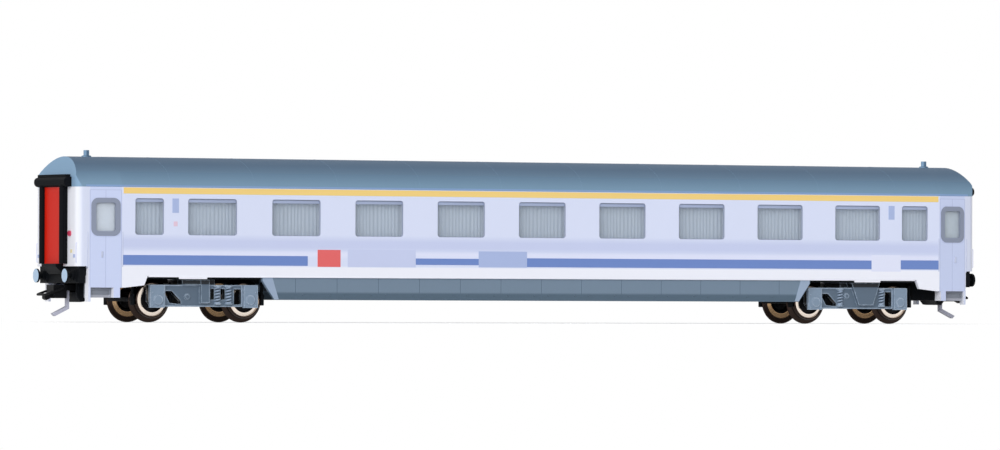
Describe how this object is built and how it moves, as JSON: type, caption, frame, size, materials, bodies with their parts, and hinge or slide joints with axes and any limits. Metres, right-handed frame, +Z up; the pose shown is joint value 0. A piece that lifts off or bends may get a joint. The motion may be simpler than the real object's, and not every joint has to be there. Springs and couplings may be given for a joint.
{
  "type": "model railway passenger coach",
  "caption": "Long corridor coach model with curved roof, tall windows, gangway ends, buffers and couplings, on swivelling bogies with free-turning wheelsets.",
  "frame": {"origin": "on the floor plane under the middle of the coach; the lowest points of the wheel flanges are at z = 0 and the rail top is 0.9 mm higher", "axes": "+X along the coach, +Y across it towards the corridor side, +Z up"},
  "size_m": [0.2244, 0.0238, 0.036],
  "materials": {
    "body_plastic": "satin lavender-white paint on plastic, with printed stripes",
    "roof_plastic": "matt blue-grey",
    "clear_plastic": "clear, slightly smoky",
    "window_frame_grey": "matt blue-grey rubber-like frame",
    "gangway_black": "matt black",
    "door_red": "satin red",
    "lamp_red": "clear red",
    "chassis_black": "matt black",
    "buffer_grey": "satin pale blue-grey",
    "step_grey": "matt grey",
    "apron_grey": "matt blue-grey",
    "equipment_grey": "matt dark grey",
    "ballast_steel": "plain rolled steel",
    "liner_grey": "matt pale grey",
    "seat_plastic": "matt warm grey",
    "bogie_grey": "matt blue-grey",
    "axle_box_grey": "matt light blue-grey",
    "spring_grey": "matt dark grey",
    "tyre_metal": "bright turned metal",
    "wheel_centre_dark": "matt near-black",
    "coupling_black": "matt black",
    "loop_grey": "satin grey"
  },
  "bodies": {
    "coach": {"body_shell": "body_plastic", "skirt_corners": "body_plastic", "roof": "roof_plastic", "roof_aerials": "roof_plastic", "window_glazing": "clear_plastic", "door_window_frames": "window_frame_grey", "door_window_panes": "clear_plastic", "gangway_bellows": "gangway_black", "gangway_doors": "door_red", "tail_lamps": "lamp_red", "headstocks": "chassis_black", "gangway_footplates": "chassis_black", "buffer_casings": "chassis_black", "buffer_plates": "buffer_grey", "entrance_steps": "step_grey", "floor_plate": "chassis_black", "centre_sills": "chassis_black", "coupling_guides": "chassis_black", "apron": "apron_grey", "equipment_boxes": "equipment_grey", "air_reservoirs": "equipment_grey", "ballast_weight": "ballast_steel", "compartments": "liner_grey", "seats": "seat_plastic"},
    "bogie_a": {"bogie_a_frame": "bogie_grey", "bogie_a_axle_boxes": "axle_box_grey", "bogie_a_springs": "spring_grey"},
    "wheelset_a1": {"wheelset_a1_axle": "wheel_centre_dark", "wheelset_a1_tyres": "tyre_metal"},
    "wheelset_a2": {"wheelset_a2_axle": "wheel_centre_dark", "wheelset_a2_tyres": "tyre_metal"},
    "bogie_b": {"bogie_b_frame": "bogie_grey", "bogie_b_axle_boxes": "axle_box_grey", "bogie_b_springs": "spring_grey"},
    "wheelset_b1": {"wheelset_b1_axle": "wheel_centre_dark", "wheelset_b1_tyres": "tyre_metal"},
    "wheelset_b2": {"wheelset_b2_axle": "wheel_centre_dark", "wheelset_b2_tyres": "tyre_metal"},
    "coupling_a": {"coupling_a_drawbar": "coupling_black", "coupling_a_head": "coupling_black", "coupling_a_loop": "coupling_black", "coupling_a_trip_arm": "loop_grey"},
    "coupling_b": {"coupling_b_drawbar": "coupling_black", "coupling_b_head": "coupling_black", "coupling_b_loop": "coupling_black", "coupling_b_trip_arm": "loop_grey"}
  },
  "joints": [
    {"name": "bogie_a_swivel", "type": "hinge", "parent": "coach", "child": "bogie_a", "pos_m": [-0.07917, 0, 0.0103], "axis": [0, 0, 1], "range_deg": [-15, 15]},
    {"name": "wheelset_a1_spin", "type": "hinge", "parent": "bogie_a", "child": "wheelset_a1", "pos_m": [-0.08983, 0, 0.00473], "axis": [0, 1, 0], "continuous": true},
    {"name": "wheelset_a2_spin", "type": "hinge", "parent": "bogie_a", "child": "wheelset_a2", "pos_m": [-0.0685, 0, 0.00473], "axis": [0, 1, 0], "continuous": true},
    {"name": "bogie_b_swivel", "type": "hinge", "parent": "coach", "child": "bogie_b", "pos_m": [0.07917, 0, 0.0103], "axis": [0, 0, 1], "range_deg": [-15, 15]},
    {"name": "wheelset_b1_spin", "type": "hinge", "parent": "bogie_b", "child": "wheelset_b1", "pos_m": [0.0685, 0, 0.00473], "axis": [0, 1, 0], "continuous": true},
    {"name": "wheelset_b2_spin", "type": "hinge", "parent": "bogie_b", "child": "wheelset_b2", "pos_m": [0.08983, 0, 0.00473], "axis": [0, 1, 0], "continuous": true},
    {"name": "coupling_a_swing", "type": "hinge", "parent": "coach", "child": "coupling_a", "pos_m": [-0.0992, 0, 0.0072], "axis": [0, 0, 1], "range_deg": [-12, 12]},
    {"name": "coupling_b_swing", "type": "hinge", "parent": "coach", "child": "coupling_b", "pos_m": [0.0992, 0, 0.0072], "axis": [0, 0, 1], "range_deg": [-12, 12]}
  ]
}
